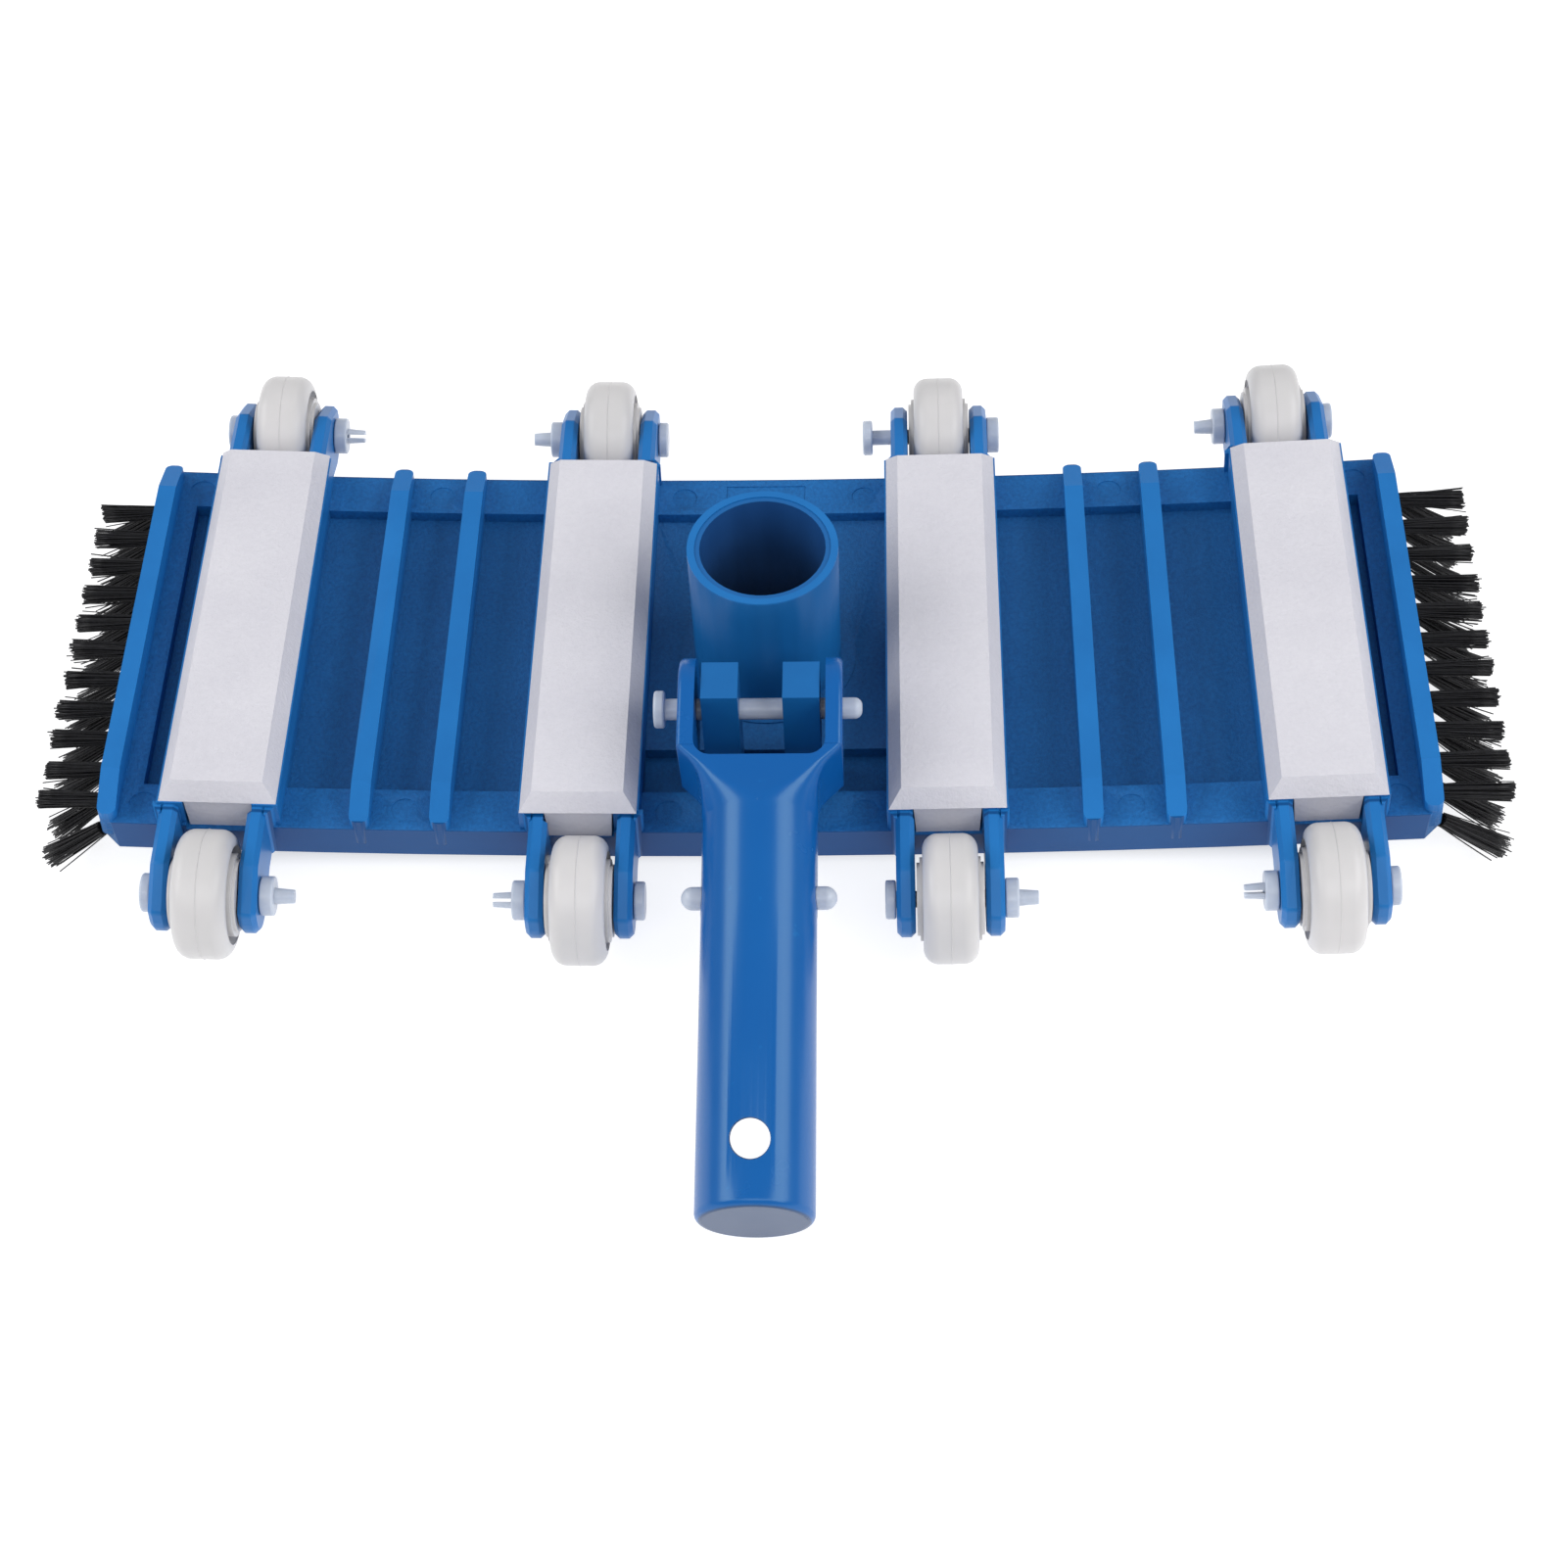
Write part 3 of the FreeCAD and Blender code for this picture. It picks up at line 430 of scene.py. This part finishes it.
def loose_parts(node):
    """The points of each separate solid in a CAD node."""
    bm = bmesh.new()
    bm.from_mesh(NODES[node].data)
    bmesh.ops.remove_doubles(bm, verts=bm.verts, dist=0.01 * MM)
    waiting = set(bm.verts)
    parts = []
    while waiting:
        stack = [waiting.pop()]
        points = []
        while stack:
            vert = stack.pop()
            points.append(vert.co[:])
            for edge in vert.link_edges:
                other = edge.other_vert(vert)
                if other in waiting:
                    waiting.remove(other)
                    stack.append(other)
        parts.append(np.array(points))
    bm.free()
    return sorted(parts, key=lambda part: part[:, 1].mean())


def tuft_axis(points):
    """Inner and outer end of a tuft's middle line."""
    middle = points.mean(0)
    along = np.linalg.svd(points - middle)[2][0]
    along *= math.copysign(1, along[0] * middle[0])
    reach = (points - middle) @ along
    return Vector(middle + along * reach.min()), Vector(middle + along * reach.max())


def hair(rng, verts, faces, start, end, sag, radius):
    """One filament from start to end as a thin tube, bowed sideways by sag."""
    along = (end - start).normalized()
    side = along.cross(Vector((0, 0, 1))).normalized()
    up = side.cross(along)
    first = len(verts)
    spin = rng.uniform(0, math.tau)
    for step in range(HAIR_STEPS + 1):
        t = step / HAIR_STEPS
        middle = start.lerp(end, t) + sag * (4 * t * (1 - t))
        for i in range(HAIR_SIDES):
            turn = spin + math.tau * i / HAIR_SIDES
            verts.append(middle + (side * math.cos(turn) + up * math.sin(turn)) * radius)
    for step in range(HAIR_STEPS):
        for i in range(HAIR_SIDES):
            j = (i + 1) % HAIR_SIDES
            low = first + step * HAIR_SIDES
            faces.append((low + i, low + j, low + HAIR_SIDES + j, low + HAIR_SIDES + i))
    top = first + HAIR_STEPS * HAIR_SIDES
    faces.append(tuple(top + i for i in range(HAIR_SIDES)))


def tuft(rng, row, verts, faces, inner, outer, longer):
    """A bundle of hairs filling one round hole and spreading a little to its cut end."""
    along = (outer - inner).normalized()
    side = along.cross(Vector((0, 0, 1))).normalized()
    up = side.cross(along)
    root = inner + along * IN_HOLE
    lean = side * rng.gauss(0, LEAN_SIDE) + up * rng.gauss(0, LEAN_UP)
    cut = outer + along * longer + lean
    slant = rng.gauss(0, CUT_SLANT)
    cut_r = CUT_R[row] * rng.uniform(*CUT_R_RANGE)
    strays = rng.sample(range(HAIRS), STRAYS[row])
    for i in range(HAIRS):
        out = math.sqrt((i + 0.5) / HAIRS)
        turn = i * GOLDEN_TURN + rng.uniform(-TURN_JITTER, TURN_JITTER)
        place = side * math.cos(turn) + up * math.sin(turn)
        start = root + place * (ROOT_R * out)
        stretch = rng.gauss(0, UNEVEN) + slant * cut_r * out * math.cos(turn)
        end = cut + place * (cut_r * out) + along * stretch
        end += (side * rng.gauss(0, 1) + up * rng.gauss(0, 1)) * SPLAY
        if i in strays:
            end += place * rng.uniform(*STRAY_OUT) * MM + along * rng.uniform(*STRAY_ALONG) * MM
        sag = (side * rng.gauss(0, 1) + up * rng.gauss(0, 1)) * HAIR_SAG
        hair(rng, verts, faces, start, end, sag, HAIR_R * rng.uniform(*HAIR_R_RANGE))


def brush_row(node, seed):
    """One row of real hair tufts in place of a CAD bristle node."""
    rng = random.Random(seed)
    row, end = node.split("_")[1:3]
    verts = []
    faces = []
    for part in loose_parts(node):
        inner, outer = tuft_axis(part)
        tuft(rng, row, verts, faces, inner, outer, LONGER[end])
    mesh = bpy.data.meshes.new(node + "_hairs")
    mesh.from_pydata([v[:] for v in verts], [], faces)
    mesh.shade_smooth()
    obj = bpy.data.objects.new(node + "_hairs", mesh)
    scene.collection.objects.link(obj)
    dress(obj, "bristle_nylon")
    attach(obj, "head")
    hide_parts(node)


for seed, name in enumerate(sorted(n for n in NODES if n.startswith("bristles_"))):
    brush_row(name, seed + FIRST_SEED)


# ---- parting lines on the wheels -----------------------------------------------------------

LINE_R = 0.13 * MM              # how far the line stands out, and half its width
LINE_STEPS = 96


def parting_line(node):
    """The thin raised ring that the mould's halves leave around the middle of a tyre."""
    points = np.array([v.co[:] for v in NODES[node].data.vertices])
    low, high = points.min(0), points.max(0)
    middle = Vector((low + high) / 2)
    axis = Vector(np.linalg.svd(points - np.array(middle), full_matrices=False)[2][2])
    radius = (high[1] - low[1]) / 2
    mesh = bpy.data.meshes.new(node + "_parting_line")
    bm = bmesh.new()
    side = Vector((0, 1, 0))
    up = axis.cross(side).normalized()
    rings = []
    for step in range(LINE_STEPS):
        turn = math.tau * step / LINE_STEPS
        out = side * math.cos(turn) + up * math.sin(turn)
        rim = middle + out * radius
        rings.append([bm.verts.new(rim - axis * LINE_R), bm.verts.new(rim + out * LINE_R),
                      bm.verts.new(rim + axis * LINE_R)])
    for step in range(LINE_STEPS):
        here = rings[step]
        there = rings[(step + 1) % LINE_STEPS]
        for i in range(2):
            bm.faces.new((here[i], here[i + 1], there[i + 1], there[i]))
    bm.normal_update()
    bmesh.ops.recalc_face_normals(bm, faces=bm.faces)
    bm.to_mesh(mesh)
    bm.free()
    obj = bpy.data.objects.new(node + "_parting_line", mesh)
    scene.collection.objects.link(obj)
    dress(obj, "wheel_plastic")
    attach(obj, node)


for name in [n for n in NODES if n.startswith("wheel_")]:
    parting_line(name)


# ---- floor, light and camera ---------------------------------------------------------------

FLOOR_GLOW = 0.8                # the floor is a lit sheet, dark only right under the head
FLOOR_HALF = 12.0
UNDER_X = 120 * MM              # half size of that dark area, and the width of its soft edge
UNDER_Y = 40 * MM
UNDER_FADE = 20 * MM
WORLD_LIGHT = 0.40
SOFTBOXES = (                   # name, place, where it points, width, height, power
    ("box_left", (-1.25, -0.02, 1.05), (0, -0.05, 0), 1.6, 0.75, 14),
    ("box_right", (1.15, -0.25, 1.05), (0, -0.05, 0), 1.6, 0.85, 15),
    ("box_front", (0.0, -1.1, 1.5), (0, 0, 0), 1.5, 0.6, 7),
)


def floor():
    """A plain pale sheet that glows, except under the head."""
    mesh = bpy.data.meshes.new("floor")
    half = FLOOR_HALF
    corners = [(-half, -half, 0), (half, -half, 0), (half, half, 0), (-half, half, 0)]
    mesh.from_pydata(corners, [], [(0, 1, 2, 3)])
    obj = bpy.data.objects.new("floor", mesh)
    scene.collection.objects.link(obj)
    s = Shader("floor_looks")
    s.link(s.ramp(s.noise(3), [(0.3, (0.44, 0.44, 0.445, 1)), (0.7, (0.46, 0.46, 0.465, 1))]),
           s.main.inputs["Base Color"])
    split = s.add("ShaderNodeSeparateXYZ")
    s.link(s.place, split.inputs[0])
    beside = s.between(s.maths("ABSOLUTE", split.outputs["X"], 0.0), UNDER_X, UNDER_X + UNDER_FADE)
    off_middle = s.maths("ABSOLUTE", s.maths("SUBTRACT", split.outputs["Y"], MIDDLE_Y), 0.0)
    ahead = s.between(off_middle, UNDER_Y, UNDER_Y + UNDER_FADE)
    open_floor = s.maths("MAXIMUM", beside, ahead)
    s.link(s.maths("MULTIPLY", open_floor, FLOOR_GLOW), s.main.inputs["Emission Strength"])
    s.set(Roughness=0.9, Specular_IOR_Level=0.1, Emission_Color=(1, 1, 1, 1))
    mesh.materials.append(s.material)


def softbox(name, place, target, width, height, power):
    """A rectangular lamp turned towards its target."""
    data = bpy.data.lights.new(name, "AREA")
    data.shape = "RECTANGLE"
    data.size = width
    data.size_y = height
    data.energy = power
    lamp = bpy.data.objects.new(name, data)
    lamp.location = place
    lamp.rotation_mode = "QUATERNION"
    lamp.rotation_quaternion = (Vector(target) - Vector(place)).to_track_quat("-Z", "Y")
    scene.collection.objects.link(lamp)


def studio():
    """Even white surroundings and the soft boxes."""
    world = bpy.data.worlds.new("studio")
    world.use_nodes = True
    background = world.node_tree.nodes["Background"]
    background.inputs["Color"].default_value = (1, 1, 1, 1)
    background.inputs["Strength"].default_value = WORLD_LIGHT
    scene.world = world
    for box in SOFTBOXES:
        softbox(*box)


def camera():
    """The product-shot view: high in front, turned and rolled a little."""
    aim = Vector((4.48, -8.10, 19.59)) * MM
    distance = 760.98 * MM
    elevation = math.radians(52.60)
    heading = math.radians(-3.288)
    roll = math.radians(-2.995)
    forward = Vector((math.sin(heading) * math.cos(elevation), math.cos(heading) * math.cos(elevation),
                      -math.sin(elevation)))
    level = Vector((math.cos(heading), -math.sin(heading), 0))
    upright = level.cross(forward)
    right = level * math.cos(roll) + upright * math.sin(roll)
    up = upright * math.cos(roll) - level * math.sin(roll)
    data = bpy.data.cameras.new("camera")
    data.lens = 64.79
    data.sensor_width = 36.0
    data.clip_start = 0.05
    data.clip_end = 20
    obj = bpy.data.objects.new("camera", data)
    turn = Matrix((right, up, -forward)).transposed().to_4x4()
    obj.matrix_world = Matrix.Translation(aim - forward * distance) @ turn
    scene.collection.objects.link(obj)
    scene.camera = obj


floor()
studio()
camera()
scene.view_settings.view_transform = "Standard"
